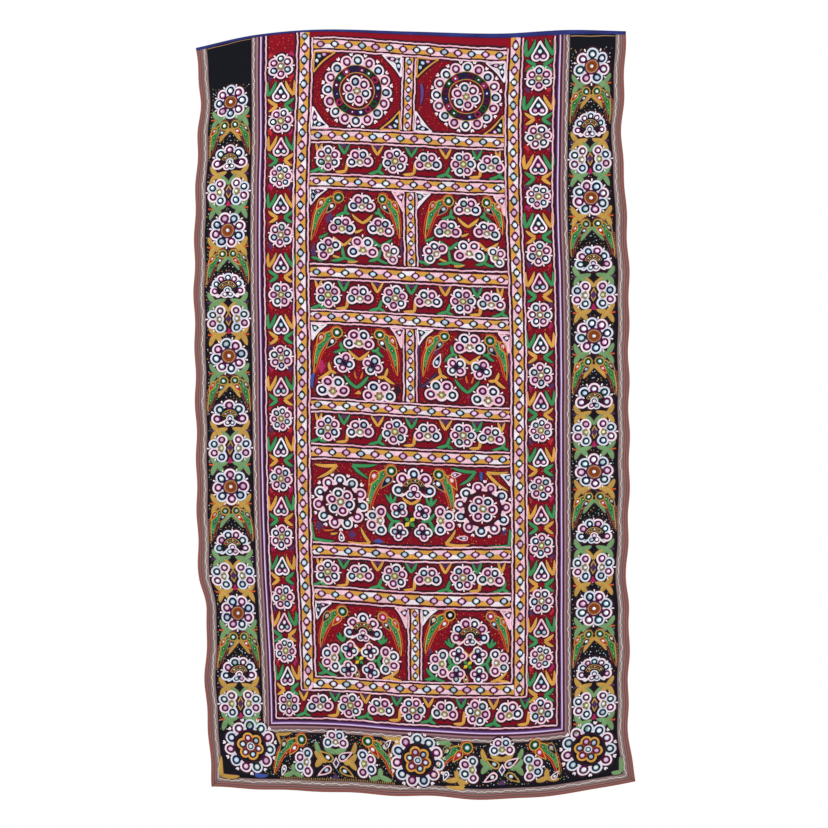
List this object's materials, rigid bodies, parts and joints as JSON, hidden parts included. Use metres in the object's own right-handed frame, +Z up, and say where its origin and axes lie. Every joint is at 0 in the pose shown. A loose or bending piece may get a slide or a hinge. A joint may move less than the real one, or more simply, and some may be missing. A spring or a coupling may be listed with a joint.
{
  "type": "mirror work wall hanging",
  "caption": "Tall rectangular embroidered cloth wall hanging: red ground framed by ribbons, a black border and braids, with small round mirrors; hung from its top edge.",
  "frame": {"origin": "middle of the top edge of the blue binding, midway through its thickness", "axes": "+Z up along the hanging's length, +X to the viewer's right across its width, face towards -Y"},
  "size_m": [1.1055, 0.0266, 1.9237],
  "materials": {
    "red_cotton": "plain-woven red cotton, matt",
    "black_wool": "black woollen cloth, matt",
    "red_brown_braid": "striped red-brown braid, matt",
    "grey_pink_tape": "woven tape with a whitish wave line, matt",
    "plum_silk": "plum and brown striped ribbon, soft sheen",
    "lilac_silk": "lilac ribbon, soft sheen",
    "blue_cotton": "folded indigo-blue cotton binding, matt",
    "white_thread": "white and pale pink cotton thread, satin",
    "dark_thread": "navy, maroon and purple thread, satin",
    "colour_thread": "ochre, green, orange and pink thread, satin",
    "glass_mirror": "small silvered glass discs, slightly domed"
  },
  "bodies": {
    "root": {"top_binding": "blue_cotton", "red_ground": "red_cotton", "outer_braid_left": "red_brown_braid", "outer_braid_right": "red_brown_braid", "outer_braid_bottom": "red_brown_braid", "outer_tape_left": "grey_pink_tape", "outer_tape_right": "grey_pink_tape", "outer_tape_bottom": "grey_pink_tape", "black_border_left": "black_wool", "black_border_right": "black_wool", "black_border_bottom": "black_wool", "inner_tape_left": "grey_pink_tape", "inner_tape_right": "grey_pink_tape", "inner_tape_bottom": "grey_pink_tape", "plum_ribbon_left": "plum_silk", "plum_ribbon_right": "plum_silk", "plum_ribbon_bottom": "plum_silk", "lilac_ribbon_left": "lilac_silk", "lilac_ribbon_right": "lilac_silk", "lilac_ribbon_bottom": "lilac_silk"}
  },
  "joints": []
}
